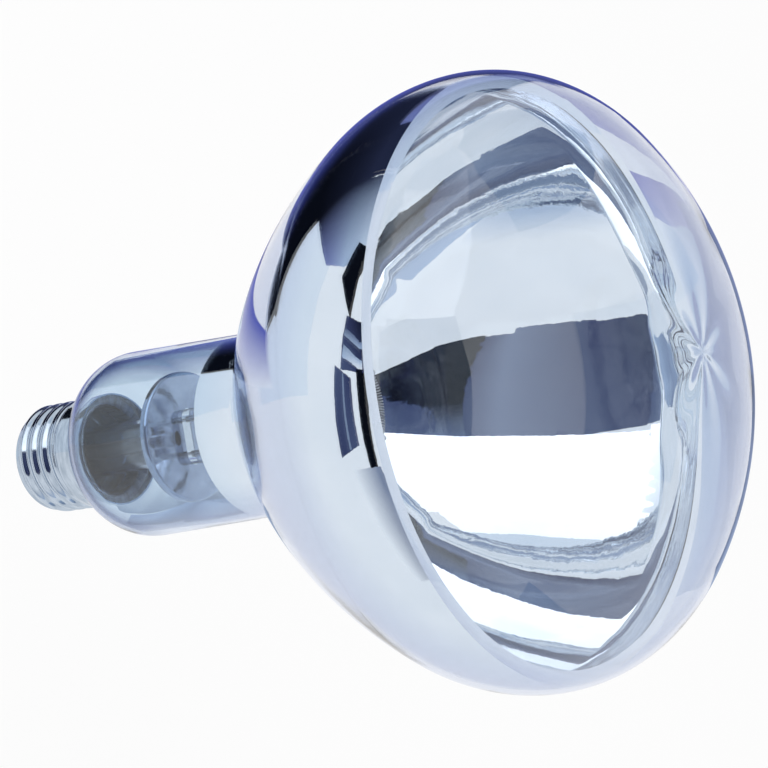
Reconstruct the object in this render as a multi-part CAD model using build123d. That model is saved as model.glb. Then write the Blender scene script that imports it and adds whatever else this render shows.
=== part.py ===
from build123d import *
import math
import os

# Sizes are in millimetres and angles in degrees.
# The lamp's axis is Z: z = 0 is the tip of the cap's contact, and the face is at the top.

# Screw cap, after the 27 mm Edison screw
CAP_HEIGHT = 27.0
THREAD_DIAMETER = 26.3
THREAD_DEPTH = 0.9
THREAD_PITCH = 3.629
THREAD_TURNS = 4
COLLAR_DIAMETER = 26.8
COLLAR_SLOPE = 0.9
SHELL_WALL = 0.35
SHELL_FOOT_BEVEL = 0.6
DIMPLE_RADIUS = 1.0
DIMPLE_DEPTH = 0.2
DIMPLE_HEIGHT = 1.5
DIMPLE_AZIMUTHS = (-38.0, -22.0)

# Insulator and contacts at the foot of the cap
CONTACT_DIAMETER = 10.0
CONTACT_SHEET = 0.5
CONTACT_SKIRT = 1.5
CONTACT_EDGE = 0.4
EYELET_DIAMETER = 2.0
SOLDER_DIAMETER = 6.6
SOLDER_FLAT = 3.2
SOLDER_HEIGHT = 0.9
INSULATOR_MOUTH = 22.4
INSULATOR_SLOPE_HEIGHT = 2.7
INSULATOR_DEPTH = 2.6
SIDE_SOLDER_RADIUS = 1.5
RIM_NOTCH_WIDTH = 1.4
RIM_NOTCH_DEPTH = 1.7

# Blown glass bulb
BULB_DIAMETER = 125.0
NECK_DIAMETER = 43.5
NECK_LENGTH = 43.2
NECK_TAPER = 1.7
TAIL_DIAMETER = 21.8
TAIL_BEND = 2.4
SHOULDER_GAP = 0.35
SHOULDER_HEIGHT = 11.2
FLARE_RADIUS = 5.1
CONE_ANGLE = 52.0
FLANK_RADIUS = 111.6
FLANK_END_ANGLE = 26.0
BOWL_RADIUS = 33.3
RIM_RADIUS = 28.1
FACE_DOME = 12.6
GLASS_WALL = 1.0

# Mirror coating inside the bowl, thickened so that it can be seen
COATING = 0.2
COATING_GAP = 0.1
COATING_PAST_EQUATOR = 7.2
COATING_DOWN_NECK = 10.4

# Cement between cap and bulb
CEMENT_DEPTH = 4.4

# Glass stem that closes the bulb and carries the mount
STEM_DIAMETER = 12.0
STEM_WALL = 1.0
STEM_LENGTH = 30.0
FLANGE_HEIGHT = 14.4
FLANGE_BEND = 2.0
PRESS_WIDTH = 13.0
PRESS_THICKNESS = 4.6
PRESS_TRANSITION = 4.0
PRESS_LENGTH = 7.0
EXHAUST_DIAMETER = 4.0
EXHAUST_WALL = 0.6
EXHAUST_LENGTH = 29.0
ARBOR_DIAMETER = 3.6
ARBOR_LENGTH = 30.0
BUTTON_DIAMETER = 7.0
BUTTON_HEIGHT = 5.0
BUTTON_EDGE = 1.8

# Heat shield pushed over the press
SHIELD_DIAMETER = 30.2
SHIELD_SHEET = 0.4
SHIELD_LIP = 1.2
SHIELD_SEAT = 3.0
SHIELD_CLEARANCE = 0.15

# Wires and filament
OUTER_LEAD_DIAMETER = 0.6
INNER_LEAD_DIAMETER = 1.2
LEAD_SPACING = 8.0
LEAD_BEND = 2.0
LEAD_SEAL = 3.5
LEAD_RISE = 7.0
LEAD_UPRIGHT = 6.0
SIDE_LEAD_AZIMUTH = 120.0
SIDE_LEAD_DROP = 2.4
FILAMENT_RING_DIAMETER = 28.0
FILAMENT_COIL_DIAMETER = 2.0
FILAMENT_GAP_ANGLE = 60.0
FILAMENT_HEIGHT = 40.0
SUPPORT_COUNT = 4
SUPPORT_DIAMETER = 0.5
SUPPORT_CLEARANCE = 0.05

# Heights and radii that follow from the sizes
TAIL_R = TAIL_DIAMETER / 2
NECK_R = NECK_DIAMETER / 2
BULB_R = BULB_DIAMETER / 2
STEM_R = STEM_DIAMETER / 2
THREAD_ROOT_R = THREAD_DIAMETER / 2 - THREAD_DEPTH
COLLAR_R = COLLAR_DIAMETER / 2
CONTACT_Z = SOLDER_HEIGHT
SLOPE_Z = CONTACT_Z + CONTACT_SHEET
SHELL_FOOT_Z = SLOPE_Z + INSULATOR_SLOPE_HEIGHT
INSULATOR_TOP_Z = SHELL_FOOT_Z + SHELL_WALL + INSULATOR_DEPTH
THREAD_LOW_Z = SHELL_FOOT_Z + SHELL_FOOT_BEVEL
THREAD_HIGH_Z = THREAD_LOW_Z + THREAD_TURNS * THREAD_PITCH
COLLAR_Z = THREAD_HIGH_Z + COLLAR_SLOPE
TUBE_TOP_Z = FLANGE_HEIGHT + STEM_LENGTH
PRESS_LOW_Z = TUBE_TOP_Z + PRESS_TRANSITION
PRESS_TOP_Z = PRESS_LOW_Z + PRESS_LENGTH
SHIELD_Z = PRESS_LOW_Z + SHIELD_SEAT
FILAMENT_Z = PRESS_TOP_Z + FILAMENT_HEIGHT
RING_R = FILAMENT_RING_DIAMETER / 2
COIL_R = FILAMENT_COIL_DIAMETER / 2
NOTCH_Z = CAP_HEIGHT - RIM_NOTCH_DEPTH / 2
SIDE_LEAD_R = (TAIL_R + THREAD_ROOT_R - SHELL_WALL) / 2
SIDE_LEAD_END_R = COLLAR_R + SIDE_SOLDER_RADIUS / 2

# Centres of the bulb's arcs, as (radius, height), from the cap up
SHOULDER_Z = CAP_HEIGHT + SHOULDER_GAP
SHOULDER_R = TAIL_R + TAIL_BEND
TAIL_BEND_CENTRE = (SHOULDER_R, SHOULDER_Z - TAIL_BEND)
SHOULDER_CENTRE = (SHOULDER_R, SHOULDER_Z + SHOULDER_HEIGHT)
TAPER = math.radians(NECK_TAPER)
CONE = math.radians(CONE_ANGLE)
FLANK_END = math.radians(FLANK_END_ANGLE)
NECK_END = (NECK_R - NECK_LENGTH * math.tan(TAPER), SHOULDER_CENTRE[1] + NECK_LENGTH)
FLARE_CENTRE = (
    NECK_END[0] + FLARE_RADIUS * math.cos(TAPER),
    NECK_END[1] + FLARE_RADIUS * math.sin(TAPER),
)
CONE_FOOT = (
    FLARE_CENTRE[0] - FLARE_RADIUS * math.cos(CONE),
    FLARE_CENTRE[1] + FLARE_RADIUS * math.sin(CONE),
)
BOWL_CENTRE_R = BULB_R - BOWL_RADIUS
FLANK_CENTRE_R = BOWL_CENTRE_R + (BOWL_RADIUS - FLANK_RADIUS) * math.cos(FLANK_END)
CONE_TOP_R = FLANK_CENTRE_R + FLANK_RADIUS * math.cos(CONE)
CONE_TOP_Z = CONE_FOOT[1] + (CONE_TOP_R - CONE_FOOT[0]) / math.tan(CONE)
FLANK_CENTRE = (FLANK_CENTRE_R, CONE_TOP_Z + FLANK_RADIUS * math.sin(CONE))
EQUATOR_Z = FLANK_CENTRE[1] + (BOWL_RADIUS - FLANK_RADIUS) * math.sin(FLANK_END)
BOWL_CENTRE = (BOWL_CENTRE_R, EQUATOR_Z)
RIM_CENTRE = (BULB_R - RIM_RADIUS, EQUATOR_Z)
FACE_RISE = RIM_RADIUS + FACE_DOME
FACE_RADIUS = (FACE_RISE**2 + RIM_CENTRE[0] ** 2 - RIM_RADIUS**2) / (2 * FACE_DOME)
FACE_CENTRE = (0.0, EQUATOR_Z + FACE_RISE - FACE_RADIUS)
FACE_EDGE = math.degrees(math.atan2(RIM_CENTRE[1] - FACE_CENTRE[1], RIM_CENTRE[0]))


def lathe(outline):
    """Turn a closed outline of (radius, height) edges about the lamp's axis."""
    return revolve(Plane.XZ * make_face(outline), Axis.Z)


def turned(*points):
    """Turn a closed polygon of (radius, height) points about the lamp's axis."""
    return lathe(Polyline(*points, close=True))


def rod(diameter, low, high):
    """Round bar on the axis from one height to another."""
    bar = Cylinder(diameter / 2, high - low, align=(Align.CENTER, Align.CENTER, Align.MIN))
    return Pos(0, 0, low) * bar


def arc(centre, radius, start, end):
    """Arc about a centre between two angles, in the order given."""
    middle = Vector(centre)
    points = [middle + Vector(radius, 0).rotate(Axis.Z, a) for a in (start, (start + end) / 2, end)]
    return ThreePointArc(*points)


def wire(points, bend, diameter):
    """Round wire along straight runs with rounded corners."""
    path = FilletPolyline(*points, radius=bend)
    section = Plane(path @ 0, z_dir=path % 0) * Circle(diameter / 2)
    return sweep(section, path)


def bulb_outline(inset):
    """Edges of the bulb's outline from its open tail to the face, set in by a distance."""
    across = NECK_R - SHOULDER_R - inset
    up = SHOULDER_HEIGHT - inset
    turn = math.degrees(math.atan(math.tan(TAPER) * up / across))
    tail_low = (TAIL_R - inset, FLANGE_HEIGHT)
    tail = Line(tail_low, (TAIL_R - inset, TAIL_BEND_CENTRE[1]))
    bend = arc(TAIL_BEND_CENTRE, TAIL_BEND + inset, 180, 90)
    shoulder = EllipticalCenterArc(SHOULDER_CENTRE, across, up, start_angle=-90, arc_size=90 + turn)
    flare = arc(FLARE_CENTRE, FLARE_RADIUS + inset, 180 + NECK_TAPER, 180 - CONE_ANGLE)
    flank = arc(FLANK_CENTRE, FLANK_RADIUS - inset, -CONE_ANGLE, -FLANK_END_ANGLE)
    bowl = arc(BOWL_CENTRE, BOWL_RADIUS - inset, -FLANK_END_ANGLE, 0)
    rim = arc(RIM_CENTRE, RIM_RADIUS - inset, 0, FACE_EDGE)
    face = arc(FACE_CENTRE, FACE_RADIUS - inset, FACE_EDGE, 90)
    neck = Line(shoulder @ 1, flare @ 0)
    cone = Line(flare @ 1, flank @ 0)
    return [tail, bend, shoulder, neck, flare, cone, flank, bowl, rim, face]


def bulb_section(inset):
    """Half section of everything inside the outline, set in by a distance."""
    outline = bulb_outline(inset)
    start = outline[0] @ 0
    end = outline[-1] @ 1
    close = Polyline((end.X, end.Y), (0, start.Y), (start.X, start.Y))
    return make_face([*outline, close])


def glass_envelope():
    return revolve(Plane.XZ * (bulb_section(0) - bulb_section(GLASS_WALL)), Axis.Z)


def reflector_coating():
    outside = GLASS_WALL + COATING_GAP
    band = bulb_section(outside) - bulb_section(outside + COATING)
    low = NECK_END[1] - COATING_DOWN_NECK
    high = EQUATOR_Z + COATING_PAST_EQUATOR
    window = Pos(0, low) * Rectangle(BULB_DIAMETER, high - low, align=(Align.MIN, Align.MIN))
    return revolve(Plane.XZ * (band & window), Axis.Z)


def thread_arcs(inset):
    """Outline of the rolled thread, from the valley above the foot to the one below the collar."""
    half_angle = math.degrees(2 * math.atan(2 * THREAD_DEPTH / THREAD_PITCH))
    radius = THREAD_PITCH / 4 / math.sin(math.radians(half_angle))
    crest_r = THREAD_DIAMETER / 2 - radius
    valley_r = THREAD_ROOT_R + radius
    arcs = []
    for turn in range(THREAD_TURNS):
        low = THREAD_LOW_Z + turn * THREAD_PITCH
        middle = low + THREAD_PITCH / 2
        high = low + THREAD_PITCH
        arcs.append(arc((valley_r, low), radius + inset, 180, 180 - half_angle))
        arcs.append(arc((crest_r, middle), radius - inset, -half_angle, half_angle))
        arcs.append(arc((valley_r, high), radius + inset, 180 + half_angle, 180))
    return arcs


def shell_section(inset):
    """Half section of everything inside the screw shell's outside, set in by a distance."""
    foot = SHELL_FOOT_Z + inset
    root = THREAD_ROOT_R - inset
    side = COLLAR_R - inset
    return make_face(
        [
            Polyline((0, foot), (root - SHELL_FOOT_BEVEL, foot), (root, THREAD_LOW_Z)),
            *thread_arcs(inset),
            Polyline((root, THREAD_HIGH_Z), (side, COLLAR_Z), (side, CAP_HEIGHT)),
            Polyline((side, CAP_HEIGHT), (0, CAP_HEIGHT), (0, foot)),
        ]
    )


def at_azimuth(azimuth, radius, height):
    """Place something on the cap's side, with its X pointing outward."""
    return Rot(0, 0, azimuth) * Pos(radius, 0, height)


def screw_shell():
    shell = revolve(Plane.XZ * (shell_section(0) - shell_section(SHELL_WALL)), Axis.Z)
    shell -= rod(INSULATOR_MOUTH, SHELL_FOOT_Z, SHELL_FOOT_Z + SHELL_WALL)
    notch = at_azimuth(SIDE_LEAD_AZIMUTH, COLLAR_R, CAP_HEIGHT)
    shell -= notch * Box(4 * SHELL_WALL, RIM_NOTCH_WIDTH, 2 * RIM_NOTCH_DEPTH)
    out = COLLAR_R + DIMPLE_RADIUS - DIMPLE_DEPTH
    for azimuth in DIMPLE_AZIMUTHS:
        shell -= at_azimuth(azimuth, out, COLLAR_Z + DIMPLE_HEIGHT) * Sphere(DIMPLE_RADIUS)
    return shell


def base_insulator():
    skirt_r = CONTACT_DIAMETER / 2
    mouth_r = INSULATOR_MOUTH / 2
    skirt_top = SLOPE_Z + CONTACT_SKIRT
    cone = turned(
        (0, SLOPE_Z),
        (skirt_r, SLOPE_Z),
        (mouth_r, SHELL_FOOT_Z),
        (mouth_r, INSULATOR_TOP_Z),
        (0, INSULATOR_TOP_Z),
    )
    groove = rod(CONTACT_DIAMETER, SLOPE_Z, skirt_top)
    groove -= rod(CONTACT_DIAMETER - 2 * CONTACT_SHEET, SLOPE_Z, skirt_top)
    return cone - groove - rod(EYELET_DIAMETER, 0, INSULATOR_TOP_Z)


def centre_contact():
    outside = rod(CONTACT_DIAMETER, CONTACT_Z, SLOPE_Z + CONTACT_SKIRT)
    outside = fillet(outside.edges().group_by(Axis.Z)[0], CONTACT_EDGE)
    hollow = rod(CONTACT_DIAMETER - 2 * CONTACT_SHEET, SLOPE_Z, SLOPE_Z + CONTACT_SKIRT)
    return outside - hollow - rod(EYELET_DIAMETER, 0, SLOPE_Z)


def centre_solder(lead):
    flat_r = SOLDER_FLAT / 2
    edge_r = SOLDER_DIAMETER / 2
    dome = lathe(
        [
            Line((0, 0), (flat_r, 0)),
            TangentArc((flat_r, 0), (edge_r, SOLDER_HEIGHT), tangent=(1, 0)),
            Polyline((edge_r, SOLDER_HEIGHT), (0, SOLDER_HEIGHT), (0, 0)),
        ]
    )
    return dome + rod(EYELET_DIAMETER, SOLDER_HEIGHT, SLOPE_Z) - lead


def side_solder(shell, lead):
    place = at_azimuth(SIDE_LEAD_AZIMUTH, COLLAR_R, NOTCH_Z)
    blob = place * Sphere(SIDE_SOLDER_RADIUS)
    inside = rod(2 * (COLLAR_R - SHELL_WALL), 0, 2 * CAP_HEIGHT)
    above = Pos(0, 0, CAP_HEIGHT) * rod(2 * COLLAR_DIAMETER, 0, CAP_HEIGHT)
    return blob - inside - above - shell - lead


def basing_cement(lead):
    top = TAIL_BEND_CENTRE[1]
    room = revolve(Plane.XZ * shell_section(SHELL_WALL), Axis.Z)
    ring = rod(COLLAR_DIAMETER, top - CEMENT_DEPTH, top) - rod(TAIL_DIAMETER, top - CEMENT_DEPTH, top)
    return (ring & room) - lead


def press_section():
    return SlotOverall(PRESS_WIDTH, PRESS_THICKNESS)


def glass_stem(leads):
    bend_z = FLANGE_HEIGHT + FLANGE_BEND
    low_z = FLANGE_HEIGHT - STEM_WALL
    bore_r = STEM_R - STEM_WALL
    centre = (STEM_R + FLANGE_BEND, bend_z)
    skirt = lathe(
        [
            Polyline((TAIL_R, FLANGE_HEIGHT), (TAIL_R, low_z), (centre[0], low_z)),
            arc(centre, FLANGE_BEND + STEM_WALL, 270, 180),
            Polyline((bore_r, bend_z), (bore_r, TUBE_TOP_Z), (STEM_R, TUBE_TOP_Z), (STEM_R, bend_z)),
            arc(centre, FLANGE_BEND, 180, 270),
            Line((centre[0], FLANGE_HEIGHT), (TAIL_R, FLANGE_HEIGHT)),
        ]
    )
    press_foot = Pos(0, 0, PRESS_LOW_Z) * press_section()
    shoulder = loft([Pos(0, 0, TUBE_TOP_Z) * Circle(STEM_R), press_foot])
    press = extrude(press_foot, PRESS_LENGTH)
    stem = skirt + shoulder + press
    for lead in leads:
        stem -= lead
    return stem


def exhaust_tube():
    radius = EXHAUST_DIAMETER / 2
    low = TUBE_TOP_Z - EXHAUST_LENGTH
    tube = rod(EXHAUST_DIAMETER, low + radius, TUBE_TOP_Z) + Pos(0, 0, low + radius) * Sphere(radius)
    bore_r = radius - EXHAUST_WALL
    bore = rod(2 * bore_r, low + radius, TUBE_TOP_Z) + Pos(0, 0, low + radius) * Sphere(bore_r)
    return tube - bore


def arbor_rod():
    top = PRESS_TOP_Z + ARBOR_LENGTH
    button = Pos(0, 0, top) * rod(BUTTON_DIAMETER, 0, BUTTON_HEIGHT)
    button = fillet(button.edges().filter_by(GeomType.CIRCLE), BUTTON_EDGE)
    return rod(ARBOR_DIAMETER, PRESS_TOP_Z, top) + button


def heat_shield():
    radius = SHIELD_DIAMETER / 2
    disc = rod(SHIELD_DIAMETER, SHIELD_Z - SHIELD_LIP, SHIELD_Z + SHIELD_SHEET)
    disc = fillet(disc.edges().group_by(Axis.Z)[-1], 2 * SHIELD_SHEET)
    hollow = rod(2 * (radius - SHIELD_SHEET), SHIELD_Z - SHIELD_LIP, SHIELD_Z)
    hollow = fillet(hollow.edges().group_by(Axis.Z)[-1], SHIELD_SHEET)
    slot = SlotOverall(PRESS_WIDTH + 2 * SHIELD_CLEARANCE, PRESS_THICKNESS + 2 * SHIELD_CLEARANCE)
    return disc - hollow - extrude(Pos(0, 0, SHIELD_Z) * slot, SHIELD_SHEET)


def lead_end(side):
    """Where a lead meets the filament ring, on the side of its seal in the press."""
    angle = math.radians(270 + side * FILAMENT_GAP_ANGLE / 2)
    return RING_R * math.cos(angle), RING_R * math.sin(angle)


def inner_lead(side):
    """Stiff lead from the middle of the press to the end of the filament."""
    x = side * LEAD_SPACING / 2
    end_x, end_y = lead_end(side)
    points = [
        (x, 0, PRESS_TOP_Z - LEAD_SEAL),
        (x, 0, PRESS_TOP_Z + LEAD_RISE),
        (end_x, end_y, FILAMENT_Z - LEAD_UPRIGHT),
        (end_x, end_y, FILAMENT_Z + COIL_R),
    ]
    return wire(points, LEAD_BEND, INNER_LEAD_DIAMETER)


def lead_wire_centre():
    x = LEAD_SPACING / 2
    points = [
        (0, 0, SOLDER_HEIGHT / 2),
        (0, 0, INSULATOR_TOP_Z),
        (x, 0, FLANGE_HEIGHT),
        (x, 0, PRESS_TOP_Z - LEAD_SEAL),
    ]
    return inner_lead(1) + wire(points, LEAD_BEND, OUTER_LEAD_DIAMETER)


def lead_wire_side():
    x = -LEAD_SPACING / 2
    low = FLANGE_HEIGHT - STEM_WALL - SIDE_LEAD_DROP
    gap = Vector(SIDE_LEAD_R, 0, 0).rotate(Axis.Z, SIDE_LEAD_AZIMUTH)
    end = Vector(SIDE_LEAD_END_R, 0, 0).rotate(Axis.Z, SIDE_LEAD_AZIMUTH)
    points = [
        (x, 0, PRESS_TOP_Z - LEAD_SEAL),
        (x, 0, low),
        (gap.X, gap.Y, low),
        (gap.X, gap.Y, NOTCH_Z),
        (end.X, end.Y, NOTCH_Z),
    ]
    return inner_lead(-1) + wire(points, OUTER_LEAD_DIAMETER, OUTER_LEAD_DIAMETER)


def filament(leads):
    start = 270 + FILAMENT_GAP_ANGLE / 2
    path = Pos(0, 0, FILAMENT_Z) * CenterArc((0, 0), RING_R, start, 360 - FILAMENT_GAP_ANGLE)
    coil = sweep(Plane(path @ 0, z_dir=path % 0) * Circle(COIL_R), path)
    for lead in leads:
        coil -= lead
    return coil


def filament_support(number, arbor):
    """Wire from the arbor's button, ending in a loop around the filament."""
    loop_r = COIL_R + SUPPORT_CLEARANCE + SUPPORT_DIAMETER / 2
    button_z = PRESS_TOP_Z + ARBOR_LENGTH + BUTTON_HEIGHT / 2
    loop = Pos(RING_R, 0, FILAMENT_Z) * Rot(90, 0, 0) * Torus(loop_r, SUPPORT_DIAMETER / 2)
    start = Vector(0, 0, button_z)
    end = Vector(RING_R - loop_r, 0, FILAMENT_Z)
    spoke = Plane(start, z_dir=end - start) * Cylinder(
        SUPPORT_DIAMETER / 2, (end - start).length, align=(Align.CENTER, Align.CENTER, Align.MIN)
    )
    step = (360 - FILAMENT_GAP_ANGLE) / (SUPPORT_COUNT + 1)
    angle = 270 + FILAMENT_GAP_ANGLE / 2 + number * step
    return Rot(0, 0, angle) * (spoke + loop) - arbor


def build():
    centre_lead = lead_wire_centre()
    side_lead = lead_wire_side()
    leads = (centre_lead, side_lead)
    shell = screw_shell()
    arbor = arbor_rod()
    nodes = {
        "glass_envelope": glass_envelope(),
        "reflector_coating": reflector_coating(),
        "screw_shell": shell,
        "base_insulator": base_insulator(),
        "centre_contact": centre_contact(),
        "centre_solder": centre_solder(centre_lead),
        "side_solder": side_solder(shell, side_lead),
        "basing_cement": basing_cement(side_lead),
        "glass_stem": glass_stem(leads),
        "exhaust_tube": exhaust_tube(),
        "arbor_rod": arbor,
        "heat_shield": heat_shield(),
        "lead_wire_centre": centre_lead,
        "lead_wire_side": side_lead,
        "filament": filament(leads),
    }
    for number in range(1, SUPPORT_COUNT + 1):
        nodes[f"filament_support_{number}"] = filament_support(number, arbor)
    return nodes


os.makedirs("parts", exist_ok=True)
for name, solid in build().items():
    export_step(solid, f"parts/{name}.step")
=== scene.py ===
import math

import bpy
import numpy as np
from mathutils import Matrix, Vector


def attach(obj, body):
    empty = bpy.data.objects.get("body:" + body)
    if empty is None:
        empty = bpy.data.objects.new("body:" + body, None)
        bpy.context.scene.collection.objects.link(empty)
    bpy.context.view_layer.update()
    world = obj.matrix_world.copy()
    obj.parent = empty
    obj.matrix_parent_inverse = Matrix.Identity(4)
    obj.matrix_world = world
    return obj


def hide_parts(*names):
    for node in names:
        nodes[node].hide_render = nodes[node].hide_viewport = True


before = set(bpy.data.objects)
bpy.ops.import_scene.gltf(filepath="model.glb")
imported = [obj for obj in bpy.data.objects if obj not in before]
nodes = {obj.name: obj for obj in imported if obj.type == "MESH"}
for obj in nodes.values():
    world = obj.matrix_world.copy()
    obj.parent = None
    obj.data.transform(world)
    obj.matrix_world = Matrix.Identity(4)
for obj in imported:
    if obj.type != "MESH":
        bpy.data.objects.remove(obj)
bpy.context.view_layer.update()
scene = bpy.context.scene
MM = 0.001

# Sizes of the part that the finer pieces repeat, in millimetres and degrees
CAP_HEIGHT = 27.0
THREAD_DIAMETER = 26.3
THREAD_DEPTH = 0.9
THREAD_PITCH = 3.629
THREAD_LOW_Z = 4.7
THREAD_HIGH_Z = 19.216
COLLAR_DIAMETER = 26.8
COLLAR_Z = 20.116
SHELL_FOOT_Z = 4.1
SHELL_WALL = 0.35
INSULATOR_MOUTH = 22.4
DIMPLES = ((-38.0, 21.6), (-22.0, 21.6))
NOTCH_AZIMUTH = 120.0
NOTCH_WIDTH = 1.4
NOTCH_DEPTH = 1.7
BULB_R = 62.5
NECK_R = 21.75
NECK_LENGTH = 43.2
NECK_TAPER = 1.7
TAIL_R = 10.9
TAIL_LOW_Z = 14.4
TAIL_BEND = 2.4
SHOULDER_Z = 27.35
SHOULDER_HEIGHT = 11.2
FLARE_RADIUS = 5.1
CONE_ANGLE = 52.0
FLANK_RADIUS = 111.6
FLANK_END_ANGLE = 26.0
BOWL_RADIUS = 33.3
RIM_RADIUS = 28.1
FACE_DOME = 12.6
GLASS_WALL = 1.0
FILM_INSET = 1.1
FILM = 0.2
FILM_LOW_Z = 71.35
FILM_PAST_EQUATOR = 7.2

# Inner face of the film, which bends more tightly than the wall
MIRROR_CONE_LOW_Z = 88.0
MIRROR_CONE_ANGLE = 46.54
MIRROR_FLANK_RADIUS = 104.48
MIRROR_FLANK_END_ANGLE = 19.63
MIRROR_BOWL_RADIUS = 13.25
MIRROR_RIM_RADIUS = 9.27

# Filament, with the angle left bare at each end in radians
FILAMENT_Z = 95.4
FILAMENT_RING_R = 14.0
FILAMENT_COIL_R = 1.0
FILAMENT_GAP_ANGLE = 60.0
FILAMENT_WIRE = 0.3
FILAMENT_TURNS = 118
FILAMENT_END_ANGLE = 0.06

# Finer forms of the shell, and the film's edges
SHELL_FOOT_TURN = 0.7
SHELL_FOOT_BLEND = 0.5
THREAD_RUN_IN = (0.3, 1.4)
COLLAR_SLOPE = 0.9
DIMPLE_DEPTH = 0.22
DIMPLE_REACH = 0.55
NOTCH_BLEND = 0.2
FILM_EDGE_MARGIN = 0.2

# Unevenness of the glass and the film, with phases in radians and the climb in radians per millimetre
GLASS_WAVE = 0.03
FILM_RIPPLE = 0.02
WAVE_PHASES = 6.28
WAVE_CLIMB = 0.11

# Fineness of the meshes
BULB_SEGMENTS = 224
FILM_SEGMENTS = 288
FILM_FINENESS = 1.3
SHELL_COLUMNS = 168
SHELL_ROWS = 150
FILAMENT_STEPS_PER_TURN = 14
FILAMENT_SIDES = 6

# Camera of the photograph, in the lamp's frame
EYE = Vector((0.0, -328.25, 358.92)) * MM
RIGHT = Vector((0.163817, 0.610945, 0.774538))
UP = Vector((-0.986491, 0.101454, 0.128620))
BACK = Vector((0.0, -0.785145, 0.619312))
FOCAL_PIXELS = 1950.8
PRINCIPAL_POINT = (355.83, 408.92)
IMAGE_SIZE = 768
SENSOR_WIDTH = 36.0

rng = np.random.default_rng(7)


def smoothstep(low, high, x):
    t = np.clip((x - low) / (high - low), 0.0, 1.0)
    return t * t * (3 - 2 * t)


def arc(centre, radius, start, end, count):
    """Points (radius, height) on an arc, angles in degrees, without the last one."""
    angles = np.radians(np.linspace(start, end, count, endpoint=False))
    return np.stack([centre[0] + radius * np.cos(angles), centre[1] + radius * np.sin(angles)], 1)


def line(start, end, count):
    return np.linspace(start, end, count, endpoint=False)


def bulb_profile(inset, fine=1.0):
    """Outline of the bulb as points (radius, height) from the open tail to the face's pole, and its equator."""
    taper, cone, flank_end = (math.radians(a) for a in (NECK_TAPER, CONE_ANGLE, FLANK_END_ANGLE))
    shoulder_r = TAIL_R + TAIL_BEND
    bend_centre = (shoulder_r, SHOULDER_Z - TAIL_BEND)
    shoulder_top = SHOULDER_Z + SHOULDER_HEIGHT
    neck_end = (NECK_R - NECK_LENGTH * math.tan(taper), shoulder_top + NECK_LENGTH)
    flare_centre = (
        neck_end[0] + FLARE_RADIUS * math.cos(taper),
        neck_end[1] + FLARE_RADIUS * math.sin(taper),
    )
    cone_foot = (
        flare_centre[0] - FLARE_RADIUS * math.cos(cone),
        flare_centre[1] + FLARE_RADIUS * math.sin(cone),
    )
    cone_start = (
        flare_centre[0] - (FLARE_RADIUS + inset) * math.cos(cone),
        flare_centre[1] + (FLARE_RADIUS + inset) * math.sin(cone),
    )
    bowl_centre_r = BULB_R - BOWL_RADIUS
    flank_centre_r = bowl_centre_r + (BOWL_RADIUS - FLANK_RADIUS) * math.cos(flank_end)
    cone_top_r = flank_centre_r + FLANK_RADIUS * math.cos(cone)
    cone_top_z = cone_foot[1] + (cone_top_r - cone_foot[0]) / math.tan(cone)
    flank_centre = (flank_centre_r, cone_top_z + FLANK_RADIUS * math.sin(cone))
    equator = flank_centre[1] + (BOWL_RADIUS - FLANK_RADIUS) * math.sin(flank_end)
    bowl_centre = (bowl_centre_r, equator)
    rim_centre = (BULB_R - RIM_RADIUS, equator)
    rise = RIM_RADIUS + FACE_DOME
    face_radius = (rise**2 + rim_centre[0] ** 2 - RIM_RADIUS**2) / (2 * FACE_DOME)
    face_centre = (0.0, equator + rise - face_radius)
    face_edge = math.degrees(math.atan2(rim_centre[1] - face_centre[1], rim_centre[0]))
    across, up = NECK_R - shoulder_r - inset, SHOULDER_HEIGHT - inset
    turn = math.atan(math.tan(taper) * up / across)
    sweep = np.linspace(-math.pi / 2, turn, round(22 * fine))
    shoulder = np.stack([shoulder_r + across * np.cos(sweep), shoulder_top + up * np.sin(sweep)], 1)
    flare = arc(flare_centre, FLARE_RADIUS + inset, 180 + NECK_TAPER, 180 - CONE_ANGLE, round(16 * fine))
    flank = arc(flank_centre, FLANK_RADIUS - inset, -CONE_ANGLE, -FLANK_END_ANGLE, round(30 * fine))
    return np.concatenate([
        line((TAIL_R - inset, TAIL_LOW_Z), (TAIL_R - inset, bend_centre[1]), 5),
        arc(bend_centre, TAIL_BEND + inset, 180, 90, round(9 * fine)),
        shoulder,
        line(shoulder[-1], flare[0], round(18 * fine))[1:],
        flare,
        line(cone_start, flank[0], 4),
        flank,
        arc(bowl_centre, BOWL_RADIUS - inset, -FLANK_END_ANGLE, 0, round(22 * fine)),
        arc(rim_centre, RIM_RADIUS - inset, 0, face_edge, round(30 * fine)),
        arc(face_centre, face_radius - inset, face_edge, 90, round(26 * fine)),
        [(0.0, face_centre[1] + face_radius - inset)],
    ]), equator


def make_object(name, verts, faces, sharp=35.0):
    """Smooth mesh object from points in millimetres."""
    mesh = bpy.data.meshes.new(name)
    mesh.from_pydata([tuple(v) for v in np.asarray(verts) * MM], [], faces)
    mesh.validate()
    mesh.polygons.foreach_set("use_smooth", [True] * len(mesh.polygons))
    mesh.set_sharp_from_angle(angle=math.radians(sharp))
    piece = bpy.data.objects.new(name, mesh)
    scene.collection.objects.link(piece)
    return piece


def grid_faces(rows, columns, closed_rows=False):
    """Quads between rings of points, each ring closed on itself."""
    faces = []
    for i in range(rows if closed_rows else rows - 1):
        a, b = i * columns, (i + 1) % rows * columns
        for j in range(columns):
            k = (j + 1) % columns
            faces.append((a + j, a + k, b + k, b + j))
    return faces


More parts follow.
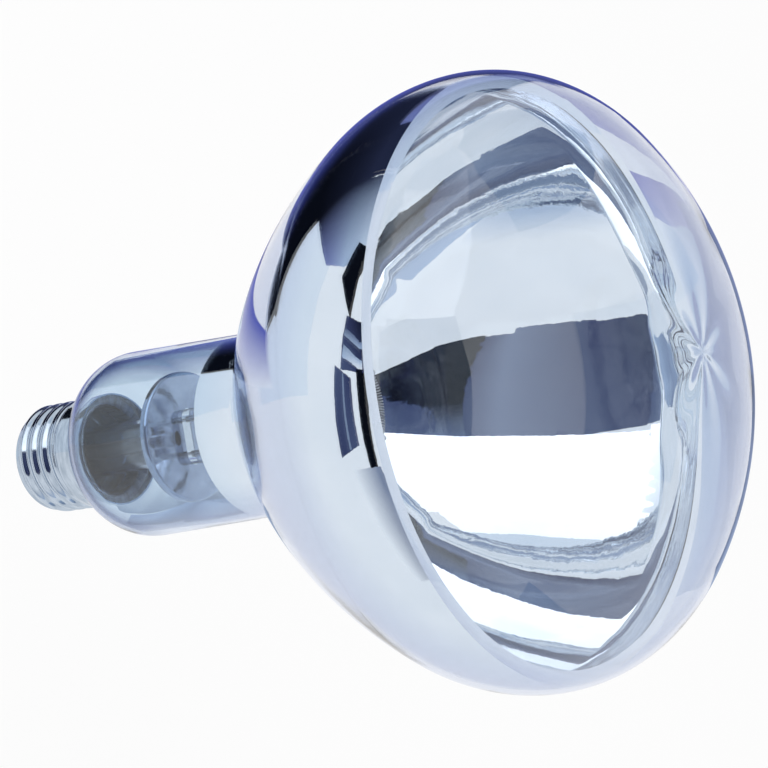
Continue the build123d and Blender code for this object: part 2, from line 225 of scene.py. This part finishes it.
def lathe(name, profile, segments, push=None):
    """Turn a closed profile about Z, with push moving its points along their normals.

    A point on the axis becomes one vertex.
    """
    step = np.roll(profile, -1, 0) - np.roll(profile, 1, 0)
    normal = np.stack([step[:, 1], -step[:, 0]], 1)
    normal /= np.linalg.norm(normal, axis=1)[:, None]
    phi = np.linspace(0, 2 * math.pi, segments, endpoint=False)
    verts, rings = [], []
    for (r, z), (nr, nz) in zip(profile, normal):
        if r < 1e-6:
            rings.append([len(verts)] * segments)
            verts.append((0.0, 0.0, z))
            continue
        shift = push(phi, r, z) if push else 0.0
        rr, zz = r + nr * shift, z + nz * shift + 0 * phi
        rings.append(list(range(len(verts), len(verts) + segments)))
        verts.extend(np.stack([rr * np.cos(phi), rr * np.sin(phi), zz], 1))
    faces = []
    for a, b in zip(rings, rings[1:] + rings[:1]):
        for j in range(segments):
            k = (j + 1) % segments
            face = tuple(dict.fromkeys((a[j], a[k], b[k], b[j])))
            if len(face) > 2:
                faces.append(face)
    return make_object(name, verts, faces)


def waves(counts, strength, climb):
    """Sum of gentle ripples round the axis, each with its own phase and lean."""
    parts = [(n, strength / len(counts), *rng.uniform(0, WAVE_PHASES, 2), rng.normal(0, climb)) for n in counts]

    def shift(phi, r, z):
        total = 0.0
        for n, size, phase, turn, lean in parts:
            total = total + size * np.sin(n * phi + phase + lean * z) * np.cos(WAVE_CLIMB * z + turn)
        return total

    return shift


# Node helpers for the materials

def new_material(name):
    material = bpy.data.materials.new(name)
    material.use_nodes = True
    tree = material.node_tree
    return material, tree, tree.nodes["Principled BSDF"]


def add(tree, kind, **settings):
    node = tree.nodes.new(kind)
    for key, value in settings.items():
        if hasattr(node, key) and key not in node.inputs:
            setattr(node, key, value)
        else:
            node.inputs[key].default_value = value
    return node


def noise(tree, scale, detail=4.0, stretch=(1, 1, 1)):
    """Noise in the object's own coordinates, with a scale in features per metre."""
    place = add(tree, "ShaderNodeTexCoord")
    squeeze = add(tree, "ShaderNodeMapping", Scale=stretch)
    texture = add(tree, "ShaderNodeTexNoise", Scale=scale, Detail=detail)
    tree.links.new(place.outputs["Object"], squeeze.inputs["Vector"])
    tree.links.new(squeeze.outputs["Vector"], texture.inputs["Vector"])
    return texture.outputs["Fac"]


def ramp(tree, source, stops):
    """Colour ramp over (position, colour) stops."""
    node = add(tree, "ShaderNodeValToRGB")
    elements = node.color_ramp.elements
    while len(elements) < len(stops):
        elements.new(0.5)
    for element, (position, colour) in zip(elements, stops):
        element.position = position
        element.color = (*colour, 1.0)
    tree.links.new(source, node.inputs["Fac"])
    return node.outputs["Color"]


def spread(tree, source, low, high):
    """Map a factor from 0..1 to low..high."""
    node = add(tree, "ShaderNodeMapRange")
    node.inputs["To Min"].default_value = low
    node.inputs["To Max"].default_value = high
    tree.links.new(source, node.inputs["Value"])
    return node.outputs["Result"]


def between(tree, source, start, end):
    """Map a value to 0 at start and 1 at end."""
    node = add(tree, "ShaderNodeMapRange")
    node.inputs["From Min"].default_value = start
    node.inputs["From Max"].default_value = end
    tree.links.new(source, node.inputs["Value"])
    return node.outputs["Result"]


def bump(tree, source, shader, distance):
    """Raise the shader's surface by a height, with a distance in metres."""
    node = add(tree, "ShaderNodeBump", Distance=distance, Strength=1.0)
    tree.links.new(source, node.inputs["Height"])
    tree.links.new(node.outputs["Normal"], shader.inputs["Normal"])


def metal(name, dark, light, roughness, scale, stretch=(1, 1, 1), grain=2e-6):
    """Metal with streaks or mottling in its colour, roughness and surface."""
    material, tree, shader = new_material(name)
    shader.inputs["Metallic"].default_value = 1.0
    streaks = noise(tree, scale, stretch=stretch)
    tree.links.new(ramp(tree, streaks, [(0.3, dark), (0.7, light)]), shader.inputs["Base Color"])
    tree.links.new(spread(tree, streaks, *roughness), shader.inputs["Roughness"])
    bump(tree, noise(tree, scale * 3, stretch=stretch), shader, grain)
    return material


# Tints of the glass, and the painted shade on its shoulder by the cap, with heights in metres and slants from 0
# face-on to 1 edge-on
NO_TINT = (1.0, 1.0, 1.0)
CAP_SHADE_TINT = (0.16, 0.2, 0.36)
CAP_SHADE_HEIGHTS = (0.046, 0.032)
CAP_SHADE_SLANTS = (0.3, 0.65)
NECK_TO_BOWL = (0.06, 0.085)
GLASS_IOR = 1.5


def clear_glass(name, neck_tint, bowl_tint, edge_tint, wave, clear=1.0):
    """Blown glass with faint cords, bluer in the neck, and darker and bluer where it is seen edge-on, partly
    for its longer path through the glass and partly as a painted dark outline; seen edge-on low on the shoulder
    by the cap it also takes a painted shade.
    """
    material, tree, shader = new_material(name)
    shader.inputs["Transmission Weight"].default_value = clear
    shader.inputs["IOR"].default_value = GLASS_IOR
    shader.inputs["Roughness"].default_value = 0.0
    place = add(tree, "ShaderNodeTexCoord")
    split = add(tree, "ShaderNodeSeparateXYZ")
    tree.links.new(place.outputs["Object"], split.inputs["Vector"])
    height = between(tree, split.outputs["Z"], *NECK_TO_BOWL)
    cords = add(tree, "ShaderNodeMath", operation="MULTIPLY_ADD")
    cords.inputs[1].default_value = 0.3
    tree.links.new(noise(tree, 28.0, stretch=(1, 1, 0.35)), cords.inputs[0])
    tree.links.new(height, cords.inputs[2])
    tint = ramp(tree, cords.outputs[0], [(0.1, neck_tint), (0.95, bowl_tint)])
    # Seen edge-on the glass darkens and turns bluer: partly its longer path through the glass, and partly a
    # painted dark outline standing in for the dark surroundings its edges show
    edge_on = add(tree, "ShaderNodeLayerWeight", Blend=0.5)
    middle = tuple((1 + c) / 2 for c in edge_tint)
    outline_and_path_tint = ramp(tree, edge_on.outputs["Facing"], [(0.38, NO_TINT), (0.75, middle), (1.0, edge_tint)])
    # Painted shade: the edge-on glass low on the shoulder, next to the cap's collar, is darkened to a deep blue
    cap_shade_amount = add(tree, "ShaderNodeMath", operation="MULTIPLY")
    tree.links.new(between(tree, split.outputs["Z"], *CAP_SHADE_HEIGHTS), cap_shade_amount.inputs[0])
    tree.links.new(between(tree, edge_on.outputs["Facing"], *CAP_SHADE_SLANTS), cap_shade_amount.inputs[1])
    painted_cap_shade = ramp(tree, cap_shade_amount.outputs[0], [(0.0, NO_TINT), (1.0, CAP_SHADE_TINT)])
    colour = tint
    for layer in (outline_and_path_tint, painted_cap_shade):
        both = add(tree, "ShaderNodeMixRGB", blend_type="MULTIPLY", Fac=1.0)
        tree.links.new(colour, both.inputs["Color1"])
        tree.links.new(layer, both.inputs["Color2"])
        colour = both.outputs["Color"]
    tree.links.new(colour, shader.inputs["Base Color"])
    bump(tree, noise(tree, 60.0, detail=2.0), shader, wave)
    return material


# The third tint of each glass is its edge-on darkening, partly a painted dark outline
glass = clear_glass("blown_glass", (0.74, 0.835, 0.92), (0.85, 0.895, 0.945), (0.36, 0.42, 0.70), 2e-5)
stem_glass = clear_glass("lead_glass", (0.92, 0.94, 0.96), (0.94, 0.95, 0.96), (0.3, 0.34, 0.42), 1e-5, 0.92)
mirror = metal("silver_mirror", (0.90, 0.92, 0.94), (0.95, 0.96, 0.97), (0.0, 0.02), 90.0, grain=1e-5)
cap_metal = metal("rolled_cap", (0.36, 0.43, 0.52), (0.57, 0.65, 0.75), (0.05, 0.16), 260.0, (1, 1, 4))
brass = metal("stamped_brass", (0.60, 0.43, 0.17), (0.80, 0.63, 0.31), (0.2, 0.42), 420.0)
solder = metal("cast_solder", (0.42, 0.43, 0.45), (0.74, 0.75, 0.77), (0.24, 0.5), 700.0, grain=2e-5)
shield = metal("shield_sheet", (0.30, 0.36, 0.48), (0.46, 0.53, 0.66), (0.03, 0.09), 160.0)
wire = metal("drawn_wire", (0.64, 0.66, 0.69), (0.86, 0.87, 0.89), (0.14, 0.3), 500.0, (1, 1, 0.1))
tungsten = metal("tungsten", (0.38, 0.39, 0.41), (0.60, 0.61, 0.64), (0.2, 0.4), 900.0)

cement, tree, shader = new_material("baked_cement")
grit = noise(tree, 900.0, detail=6.0)
place = add(tree, "ShaderNodeTexCoord")
flat = add(tree, "ShaderNodeVectorMath", operation="MULTIPLY")
flat.inputs[1].default_value = (1.0, 1.0, 0.0)
spoke = add(tree, "ShaderNodeVectorMath", operation="NORMALIZE")
streaks = add(tree, "ShaderNodeTexNoise", Scale=7.0, Detail=5.0)
tree.links.new(place.outputs["Object"], flat.inputs[0])
tree.links.new(flat.outputs[0], spoke.inputs[0])
tree.links.new(spoke.outputs[0], streaks.inputs["Vector"])
# Fine grit laid over streaks that run out from the axis sets the cement's colour
grit_and_streaks = add(tree, "ShaderNodeMath", operation="MULTIPLY_ADD")
grit_and_streaks.inputs[1].default_value = 0.35
tree.links.new(grit, grit_and_streaks.inputs[0])
tree.links.new(streaks.outputs["Fac"], grit_and_streaks.inputs[2])
colours = [(0.5, (0.26, 0.29, 0.42)), (0.66, (0.48, 0.55, 0.76)), (0.84, (0.74, 0.84, 1.0))]
tree.links.new(ramp(tree, grit_and_streaks.outputs[0], colours), shader.inputs["Base Color"])
tree.links.new(spread(tree, grit, 0.75, 0.95), shader.inputs["Roughness"])
bump(tree, noise(tree, 1500.0, detail=6.0), shader, 2e-4)

vitrite, tree, shader = new_material("black_vitrite")
mottle = noise(tree, 300.0)
colours = [(0.3, (0.006, 0.006, 0.008)), (0.7, (0.03, 0.03, 0.034))]
tree.links.new(ramp(tree, mottle, colours), shader.inputs["Base Color"])
tree.links.new(spread(tree, mottle, 0.12, 0.3), shader.inputs["Roughness"])
shader.inputs["Coat Weight"].default_value = 0.4
bump(tree, noise(tree, 500.0), shader, 3e-5)

# Glass bulb as one closed wall, with the slight unevenness of blown glass

outside, equator = bulb_profile(0.0)
inside, _ = bulb_profile(GLASS_WALL)
uneven = waves((2, 3, 5, 9), GLASS_WAVE, 0.02)
bulb = lathe(
    "bulb_glass",
    np.concatenate([outside, inside[::-1]]),
    BULB_SEGMENTS,
    lambda phi, r, z: uneven(phi, r, z) - GLASS_WAVE,
)
bulb.data.materials.append(glass)
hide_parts("glass_envelope")

# Mirror film with the ripples that break its reflections

film_high_z = equator + FILM_PAST_EQUATOR


def film_wall(inset):
    """Points along the bulb's wall between the two edges of the film."""
    points, _ = bulb_profile(inset, FILM_FINENESS)
    low = [np.interp(FILM_LOW_Z, points[:, 1], points[:, 0]), FILM_LOW_Z]
    rim = points[np.argmax(points[:, 0]):]
    high = [np.interp(film_high_z, rim[:, 1], rim[:, 0]), film_high_z]
    above = points[:, 1] > FILM_LOW_Z + FILM_EDGE_MARGIN
    below = points[:, 1] < film_high_z - FILM_EDGE_MARGIN
    return np.concatenate([[low], points[above & below], [high]])


def mirror_face(inset):
    """Points along the film's inner face, which turns more tightly at the rim than the wall does."""
    wall = film_wall(inset)
    end = math.radians(MIRROR_FLANK_END_ANGLE)
    bowl_centre = (BULB_R - MIRROR_BOWL_RADIUS, equator)
    apart = MIRROR_FLANK_RADIUS - MIRROR_BOWL_RADIUS
    flank_centre = (bowl_centre[0] - apart * math.cos(end), equator + apart * math.sin(end))
    flank = arc(flank_centre, MIRROR_FLANK_RADIUS - inset, -MIRROR_CONE_ANGLE, -MIRROR_FLANK_END_ANGLE, 60)
    bowl = arc(bowl_centre, MIRROR_BOWL_RADIUS - inset, -MIRROR_FLANK_END_ANGLE, 0, 24)
    low = wall[wall[:, 1] < MIRROR_CONE_LOW_Z]
    rim_end = math.asin(FILM_PAST_EQUATOR / MIRROR_RIM_RADIUS)
    rim_centre = (BULB_R - inset - MIRROR_RIM_RADIUS, equator)
    rim = arc(rim_centre, MIRROR_RIM_RADIUS, 0, math.degrees(rim_end), 20)
    lip = (rim_centre[0] + MIRROR_RIM_RADIUS * math.cos(rim_end), film_high_z)
    return np.concatenate([low, line(low[-1], flank[0], 12)[1:], flank, bowl, rim, [lip]])


ripple = waves((17, 29, 41, 53), FILM_RIPPLE, 0.05)
film_outline = np.concatenate([film_wall(FILM_INSET), mirror_face(FILM_INSET + FILM)[::-1]])
film = lathe("mirror_film", film_outline, FILM_SEGMENTS, ripple)
film.data.materials.append(mirror)
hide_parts("reflector_coating")

# Rolled shell of the cap, with its right-hand knuckle thread


def shell_radius(phi, z):
    """Radius of the shell's outer face round the axis at a height: foot, thread, collar and dimples."""
    mean = THREAD_DIAMETER / 2 - THREAD_DEPTH / 2
    grow = smoothstep(THREAD_HIGH_Z - COLLAR_SLOPE, COLLAR_Z, z)
    plain = mean + (COLLAR_DIAMETER / 2 - mean) * grow
    before, after = THREAD_RUN_IN
    thread = smoothstep(THREAD_LOW_Z - before, THREAD_LOW_Z + after, z) * (1 - grow)
    foot = SHELL_FOOT_TURN * (1 - smoothstep(SHELL_FOOT_Z, THREAD_LOW_Z + SHELL_FOOT_BLEND, z)) ** 2
    turn = 2 * math.pi * (z - THREAD_LOW_Z) / THREAD_PITCH - phi
    radius = plain + THREAD_DEPTH / 2 * (thread * np.cos(turn) - (1 - thread) * (1 - grow)) - foot
    for azimuth, height in DIMPLES:
        side = (phi - math.radians(azimuth) + math.pi) % (2 * math.pi) - math.pi
        away = np.hypot(side * COLLAR_DIAMETER / 2, z - height)
        radius = radius - DIMPLE_DEPTH * np.exp(-((away / DIMPLE_REACH) ** 4))
    return np.minimum(radius, COLLAR_DIAMETER / 2)


def screw_shell():
    """Thin wall with the thread on both faces, a turned-in foot and a notch in its rim."""
    phi = np.linspace(0, 2 * math.pi, SHELL_COLUMNS, endpoint=False)
    heights = np.linspace(SHELL_FOOT_Z, CAP_HEIGHT, SHELL_ROWS)
    rings = [(INSULATOR_MOUTH / 2 + 0 * phi, SHELL_FOOT_Z)]
    rings += [(shell_radius(phi, z), z) for z in heights]
    rings += [(shell_radius(phi, z) - SHELL_WALL, z) for z in heights[::-2] if z > SHELL_FOOT_Z + SHELL_WALL]
    rings += [(INSULATOR_MOUTH / 2 + 0 * phi, SHELL_FOOT_Z + SHELL_WALL)]
    side = (phi - math.radians(NOTCH_AZIMUTH) + math.pi) % (2 * math.pi) - math.pi
    away = np.abs(side) * COLLAR_DIAMETER / 2
    edge = NOTCH_WIDTH / 2
    notch = NOTCH_DEPTH * (1 - smoothstep(edge - NOTCH_BLEND, edge + NOTCH_BLEND, away))
    verts = []
    for r, z in rings:
        height = z - notch * smoothstep(COLLAR_Z, CAP_HEIGHT, z)
        verts.append(np.stack([r * np.cos(phi), r * np.sin(phi), height], 1))
    faces = grid_faces(len(rings), SHELL_COLUMNS, True)
    return make_object("threaded_shell", np.concatenate(verts), faces, 50.0)


shell = screw_shell()
shell.data.materials.append(cap_metal)
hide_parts("screw_shell")

# Filament as a fine coil round its ring


def coil_tube(centre, radius, sides):
    """Round tube along a line of points."""
    along = np.gradient(centre, axis=0)
    along /= np.linalg.norm(along, axis=1)[:, None]
    across = np.cross(along, (0.0, 0.0, 1.0))
    across /= np.linalg.norm(across, axis=1)[:, None]
    over = np.cross(along, across)
    angles = np.linspace(0, 2 * math.pi, sides, endpoint=False)
    rings = [centre + radius * (across * math.cos(a) + over * math.sin(a)) for a in angles]
    verts = np.stack(rings, 1).reshape(-1, 3)
    caps = [tuple(range(sides))[::-1], tuple(range(len(verts) - sides, len(verts)))]
    return verts, grid_faces(len(centre), sides) + caps


ring_start = math.radians(270 + FILAMENT_GAP_ANGLE / 2) + FILAMENT_END_ANGLE
ring_sweep = math.radians(360 - FILAMENT_GAP_ANGLE) - 2 * FILAMENT_END_ANGLE
t = np.linspace(0, 1, FILAMENT_TURNS * FILAMENT_STEPS_PER_TURN)
swing = FILAMENT_COIL_R - FILAMENT_WIRE / 2
wind = 2 * math.pi * FILAMENT_TURNS * t
ring_angle = ring_start + ring_sweep * t
ring_r = FILAMENT_RING_R + swing * np.cos(wind)
coil_z = FILAMENT_Z + swing * np.sin(wind)
coil_line = np.stack([ring_r * np.cos(ring_angle), ring_r * np.sin(ring_angle), coil_z], 1)
coil = make_object("coiled_filament", *coil_tube(coil_line, FILAMENT_WIRE / 2, FILAMENT_SIDES), 80.0)
coil.data.materials.append(tungsten)
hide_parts("filament")

for piece in (bulb, film, shell, coil):
    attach(piece, "root")

finishes = {
    "glass_stem": stem_glass, "exhaust_tube": stem_glass, "arbor_rod": stem_glass,
    "base_insulator": vitrite, "centre_contact": brass, "centre_solder": solder, "side_solder": solder,
    "basing_cement": cement, "heat_shield": shield, "lead_wire_centre": wire, "lead_wire_side": wire,
    "filament_support_1": wire, "filament_support_2": wire,
    "filament_support_3": wire, "filament_support_4": wire,
}
for name, material in finishes.items():
    for slot in nodes[name].material_slots:
        slot.material = material

# Studio: a pale floor, and cards that only reflections see

FLOOR_Z = -0.12
FLOOR_REACH = 4.0
MIDDLE = Vector((0.0, 0.0, 0.125))
DOME_RADIUS = 2.0
CARD_POINTS = 10
CARD_LIFT = 0.001

card_material = bpy.data.materials.new("studio_card")
card_material.use_nodes = True
tree = card_material.node_tree
tree.nodes.clear()
paint = add(tree, "ShaderNodeVertexColor", layer_name="paint")
light = add(tree, "ShaderNodeEmission", Strength=1.0)
tree.links.new(paint.outputs["Color"], light.inputs["Color"])
tree.links.new(light.outputs["Emission"], add(tree, "ShaderNodeOutputMaterial").inputs["Surface"])


def on_dome(lon, lat):
    """Place 2 m from the lamp: longitude 0 is towards the viewer and grows to the right, latitude is up.

    A place below the floor is brought in until it lies on it.
    """
    a, b = math.radians(lon), math.radians(lat)
    way = RIGHT * math.sin(a) * math.cos(b) + UP * math.sin(b) + BACK * math.cos(a) * math.cos(b)
    reach = DOME_RADIUS
    if way.z < 0:
        reach = min(reach, (FLOOR_Z - MIDDLE.z) / way.z)
    return MIDDLE + way * reach


def on_floor(x, y):
    """Place on the floor in millimetres."""
    return Vector((x * MM, y * MM, FLOOR_Z))


def in_view(x, y):
    """Place on the floor that the camera sees at a pixel, which may be outside its frame."""
    way = RIGHT * (x - PRINCIPAL_POINT[0]) - UP * (y - PRINCIPAL_POINT[1]) - BACK * FOCAL_PIXELS
    return EYE + way * ((FLOOR_Z - EYE.z) / way.z)


cards = []


def card(name, place, corners, *colours):
    """Four-sided card in one colour or in four that run into each other, each a little above the one before.

    The camera doesn't see it, and it gives no light or shadow.
    """
    count = CARD_POINTS
    lift = CARD_LIFT * (len(cards) + 1)
    corners = np.array(corners, float)
    colours = np.array(colours * (4 if len(colours) == 1 else 1), float)
    points, shades = [], []
    for v in np.linspace(0, 1, count):
        for u in np.linspace(0, 1, count):
            weight = np.array([(1 - u) * (1 - v), u * (1 - v), u * v, (1 - u) * v])
            spot = place(*(weight @ corners))
            points.append(spot + (MIDDLE - spot).normalized() * lift)
            shades.append((*(weight @ colours), 1.0))
    faces = []
    for i in range(count - 1):
        for j in range(count - 1):
            a = i * count + j
            faces.append((a, a + 1, a + count + 1, a + count))
    mesh = bpy.data.meshes.new(name)
    mesh.from_pydata(points, [], faces)
    paint = mesh.color_attributes.new("paint", "FLOAT_COLOR", "POINT")
    paint.data.foreach_set("color", np.array(shades, np.float32).ravel())
    mesh.materials.append(card_material)
    panel = bpy.data.objects.new(name, mesh)
    panel.visible_camera = False
    panel.visible_diffuse = False
    panel.visible_shadow = False
    scene.collection.objects.link(panel)
    cards.append(panel)


# Tones of the cards
WHITE = (2.1, 2.1, 2.1)
SOFT = (1.5, 1.52, 1.54)
PLAIN = (1.0, 1.0, 1.0)
BLACK = (0.004, 0.005, 0.009)
DARK = (0.02, 0.025, 0.055)
NAVY = (0.04, 0.048, 0.12)
DUSK = (0.09, 0.115, 0.21)
STEEL = (0.19, 0.235, 0.35)
BLUE = (0.11, 0.13, 0.50)
VIOLET = (0.20, 0.23, 0.47)
HAZE = (0.32, 0.39, 0.50)
SKY = (0.45, 0.55, 0.72)
PALE = (0.78, 0.86, 0.95)
MIST = (0.86, 0.91, 0.96)

card("softbox", on_dome, [(-28, 23), (24, 24), (52, 68), (-40, 68)], WHITE, WHITE, SOFT, SOFT)
card("softbox_left", on_dome, [(-46, 19), (-28, 20.5), (-35, 66), (-46, 60)], PALE, WHITE, PALE, HAZE)
card("room_left", on_dome, [(-33, -21), (-27, -21), (-27, 20), (-33, 18)], HAZE, NAVY, DUSK, STEEL)
card("room_dim", on_dome, [(-27, -21), (-13, -21), (-13, 23.5), (-27, 20.5)], DARK, NAVY, DUSK, NAVY)
card("room_middle", on_dome, [(-13, -21.5), (7, -22), (7, 24), (-13, 23.5)], NAVY, STEEL, STEEL, DUSK)
card("room_right", on_dome, [(7, -20), (15, -20), (15, 24), (7, 24)], STEEL, NAVY, DUSK, STEEL)
card("room_corner", on_dome, [(14, -20.5), (28, -19.5), (28, 8), (15, 8)], BLACK)
card("room_top", on_dome, [(15, 8), (28, 8), (25, 24), (15, 24)], BLACK, BLACK, DUSK, STEEL)
card("room_side", on_dome, [(62, -14), (98, -14), (98, 22), (62, 22)], STEEL, SKY, SKY, STEEL)
card("room_back", on_dome, [(98, 18), (124, 18), (124, 42), (98, 42)], PALE)
card("panel_low", on_dome, [(58, -46), (100, -46), (100, -80), (50, -80)], SKY, HAZE, HAZE, SKY)
card("panel_high", on_dome, [(56, 44), (130, 44), (130, 80), (62, 80)], HAZE, STEEL, STEEL, HAZE)
card("shade_low", on_dome, [(-30, -55), (52, -55), (56, -68), (-30, -70)], PLAIN, PLAIN, SKY, SKY)
card("shade_high", on_dome, [(-40, 68), (52, 68), (60, 82), (-48, 82)], PALE)
card("wall_left", on_dome, [(-128, -4), (-86, -4), (-82, 44), (-128, 44)], MIST)
card("gap", on_floor, [(-72, -2), (-258, -62), (-258, 60), (-128, 55)], BLACK)
card("gap_far", on_floor, [(-128, 55), (-258, 60), (-300, 260), (-134, 170)], BLACK, BLACK, NAVY, BLUE)
card("gap_left", on_floor, [(-258, -62), (-700, -120), (-700, 100), (-258, 60)], BLACK, DARK, DARK, BLACK)
card("gap_corner", on_floor, [(-258, 60), (-700, 100), (-620, 500), (-300, 260)], BLACK, DARK, DARK, DARK)
card("wall_far", on_floor, [(-134, 170), (-300, 260), (-620, 900), (-160, 900)], BLUE, NAVY, NAVY, BLUE)
card("wall_end", on_floor, [(-700, -120), (-2800, -400), (-2800, 2500), (-600, 900)], DARK)
card("wall_band", on_floor, [(-640, 160), (-900, 240), (-620, 1100), (-420, 640)], VIOLET)
card("fade", on_floor, [(-258, -62), (-285, -230), (-450, -420), (-700, -120)], BLACK, VIOLET, SKY, DARK)
card(
    "fade_end", on_floor, [(-700, -120), (-450, -420), (-1200, -1100), (-2400, -400)], DARK, SKY, PALE, STEEL
)
card("floor_blue", on_floor, [(-74, -4), (-30, -40), (-20, 900), (-140, 900)], BLUE, PLAIN, PLAIN, BLUE)
card("flag_side", on_dome, [(-70, 31), (-57, 20), (-55, 44), (-66, 44)], BLACK)
card("flag_low", on_dome, [(-62, 4), (-46, 4), (-46, 20), (-60, 21)], DUSK, NAVY, BLACK, NAVY)
card("swirl_high", on_dome, [(-60, 14), (-47, 10.5), (-47, 13), (-60, 17)], HAZE, SKY, STEEL, DUSK)
card("swirl_low", on_dome, [(-61, 7.5), (-48, 5), (-48, 7.5), (-60, 11)], SKY, PLAIN, SKY, HAZE)
card("bars", on_dome, [(-70, -22), (-55, -19), (-55, 2), (-66, 5)], NAVY, DUSK, NAVY, DUSK)
card("bar_pale", on_dome, [(-62.5, -20), (-61, -20), (-60, 3), (-61, 3)], HAZE, STEEL, HAZE, STEEL)
card("bar_dark", on_dome, [(-51, -26), (-45, -26), (-45, 5), (-51, 5)], BLACK)
card("shade_left", on_dome, [(-64, -26), (-44, -26), (-30, -68), (-60, -66)], PLAIN, STEEL, DUSK, PLAIN)
card("edge_top", in_view, [(90, 322), (215, 296), (212, 262), (60, 288)], PALE, SKY, PALE, PALE)
card("edge_low", in_view, [(100, 548), (250, 540), (256, 600), (80, 610)], SKY, SKY, HAZE, HAZE)
card("neck_low", in_view, [(84, 470), (262, 470), (262, 545), (84, 545)], PLAIN, PLAIN, HAZE, HAZE)
card("edge_right", in_view, [(762, 140), (1150, 0), (1150, 768), (762, 640)], VIOLET, STEEL, STEEL, SKY)
card("rim_right", in_view, [(694, 190), (770, 190), (770, 640), (694, 640)], PLAIN, SKY, SKY, PLAIN)


def seen_rays(tree):
    """1 for the rays that show the backdrop: the camera's, and those of metal and glass."""
    path = add(tree, "ShaderNodeLightPath")
    either = add(tree, "ShaderNodeMath", operation="MAXIMUM")
    any_of = add(tree, "ShaderNodeMath", operation="MAXIMUM")
    tree.links.new(path.outputs["Is Camera Ray"], either.inputs[0])
    tree.links.new(path.outputs["Is Glossy Ray"], either.inputs[1])
    tree.links.new(either.outputs[0], any_of.inputs[0])
    tree.links.new(path.outputs["Is Transmission Ray"], any_of.inputs[1])
    return any_of.outputs[0]


floor_mesh = bpy.data.meshes.new("floor")
floor_corners = [(x * FLOOR_REACH, y * FLOOR_REACH, FLOOR_Z) for x, y in ((-1, -1), (1, -1), (1, 1), (-1, 1))]
floor_mesh.from_pydata(floor_corners, [], [(0, 1, 2, 3)])
floor = bpy.data.objects.new("floor", floor_mesh)
scene.collection.objects.link(floor)
floor_material, tree, shader = new_material("pale_floor")
shader.inputs["Base Color"].default_value = (0.96, 0.96, 0.96, 1.0)
shader.inputs["Roughness"].default_value = 0.9
share = add(tree, "ShaderNodeMath", operation="MULTIPLY")
share.inputs[1].default_value = 0.9
tree.links.new(seen_rays(tree), share.inputs[0])
white = add(tree, "ShaderNodeEmission", Color=(1.0, 1.0, 1.0, 1.0), Strength=1.0)
blend = add(tree, "ShaderNodeMixShader")
tree.links.new(share.outputs[0], blend.inputs[0])
tree.links.new(shader.outputs[0], blend.inputs[1])
tree.links.new(white.outputs[0], blend.inputs[2])
tree.links.new(blend.outputs[0], tree.nodes["Material Output"].inputs["Surface"])
floor_mesh.materials.append(floor_material)

world = bpy.data.worlds.new("studio")
scene.world = world
world.use_nodes = True
tree = world.node_tree
even = tree.nodes["Background"]
even.inputs["Color"].default_value = (0.65, 0.65, 0.65, 1.0)
backdrop = add(tree, "ShaderNodeBackground", Color=(1.0, 1.0, 1.0, 1.0), Strength=1.0)
blend = add(tree, "ShaderNodeMixShader")
tree.links.new(seen_rays(tree), blend.inputs[0])
tree.links.new(even.outputs[0], blend.inputs[1])
tree.links.new(backdrop.outputs[0], blend.inputs[2])
tree.links.new(blend.outputs[0], tree.nodes["World Output"].inputs["Surface"])

lamp_data = bpy.data.lights.new("soft_lamp", "AREA")
lamp_data.shape = "DISK"
lamp_data.size = 1.2
lamp_data.energy = 9.0
lamp = bpy.data.objects.new("soft_lamp", lamp_data)
lamp.location = (-0.7, -0.6, 1.3)
lamp.rotation_euler = (MIDDLE - lamp.location).to_track_quat("-Z", "Y").to_euler()
lamp.visible_camera = False
lamp.visible_glossy = False
lamp.visible_transmission = False
scene.collection.objects.link(lamp)

camera_data = bpy.data.cameras.new("camera")
camera_data.sensor_width = SENSOR_WIDTH
camera_data.lens = FOCAL_PIXELS * SENSOR_WIDTH / IMAGE_SIZE
camera_data.shift_x = (IMAGE_SIZE / 2 - PRINCIPAL_POINT[0]) / IMAGE_SIZE
camera_data.shift_y = (PRINCIPAL_POINT[1] - IMAGE_SIZE / 2) / IMAGE_SIZE
camera_data.clip_start = 0.01
camera = bpy.data.objects.new("camera", camera_data)
axes = Matrix((RIGHT, UP, BACK)).transposed()
camera.matrix_world = Matrix.Translation(EYE) @ axes.to_4x4()
scene.collection.objects.link(camera)
scene.camera = camera

scene.view_settings.view_transform = "Standard"
scene.cycles.max_bounces = 28
scene.cycles.glossy_bounces = 16
scene.cycles.transmission_bounces = 24
